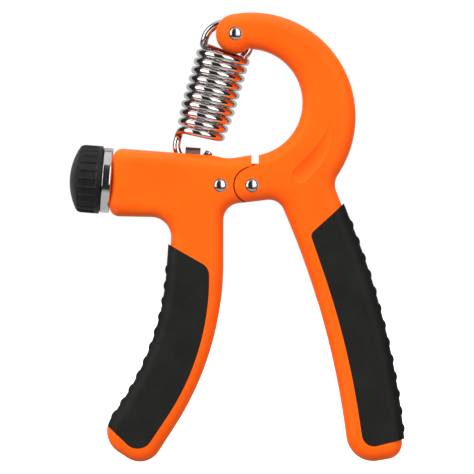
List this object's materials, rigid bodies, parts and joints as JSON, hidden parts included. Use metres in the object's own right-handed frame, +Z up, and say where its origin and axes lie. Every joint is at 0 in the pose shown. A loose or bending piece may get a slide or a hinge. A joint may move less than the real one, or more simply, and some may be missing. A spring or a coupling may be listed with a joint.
{
  "type": "hand grip strengthener",
  "caption": "Hand grip strengthener: two pivoted handles with ribbed soft grips, a coil spring between a curved arm and a screw slider, and a knob that sets the resistance.",
  "frame": {"origin": "bottom centre of the whole part: both handle tips stand on Z = 0", "axes": "+Z up along the handles towards the curved arm, +X towards the moving handle, +Y away from the face that shows the domed rivet heads"},
  "size_m": [0.1232, 0.0248, 0.1651],
  "materials": {
    "orange_plastic": "satin moulded orange",
    "soft_grip": "matt black, finely textured",
    "spring_wire": "bright nickel-plated wire",
    "knob_plastic": "satin black",
    "chrome": "polished",
    "screw_steel": "zinc plated",
    "bush_brass": "turned",
    "slider_steel": "yellow-brown plated steel",
    "rivet_steel": "plated"
  },
  "bodies": {
    "fixed": {"left_handle": "orange_plastic", "left_grip": "soft_grip", "screw_end_block": "slider_steel", "end_block_rivet": "rivet_steel", "end_block_rivet_washer": "rivet_steel", "arm_end_bush": "bush_brass", "thrust_washer": "screw_steel", "pivot_bush": "bush_brass"},
    "moving": {"right_handle": "orange_plastic", "right_grip": "soft_grip", "pivot_rivet": "rivet_steel", "pivot_rivet_washer": "rivet_steel", "spring_rivet": "rivet_steel", "spring_rivet_washer": "rivet_steel"},
    "adjuster": {"knob_cover": "knob_plastic", "knob_core": "knob_plastic", "chrome_ring": "chrome", "adjusting_screw": "screw_steel", "retaining_clip": "screw_steel"},
    "slider": {"slider_nut": "slider_steel"},
    "spring": {"main_spring": "spring_wire"}
  },
  "joints": [
    {"name": "squeeze", "type": "hinge", "parent": "fixed", "child": "moving", "pos_m": [0.0058, 0, 0.1015], "axis": [0, 1, 0], "range_deg": [0, 32], "stiffness_Nm_per_rad": 7.7, "springref_deg": -4.58, "deforming": ["main_spring"]},
    {"name": "knob_turn", "type": "hinge", "parent": "fixed", "child": "adjuster", "pos_m": [-0.0458, 0, 0.1032], "axis": [0.9972, 0, -0.075], "range_deg": [0, 5400]},
    {"name": "slider_travel", "type": "slide", "parent": "fixed", "child": "slider", "axis": [-0.9972, 0, 0.075], "range_m": [0, 0.015]},
    {"name": "spring_swing", "type": "hinge", "parent": "slider", "child": "spring", "pos_m": [-0.01573, 0, 0.11603], "axis": [0, 1, 0], "range_deg": [0, 32]}
  ],
  "couplings": [
    {"joint": "knob_turn", "follows": "slider_travel", "rad_per_m": 6283},
    {"joint": "spring_swing", "follows": "squeeze", "ratio": 0.98}
  ]
}
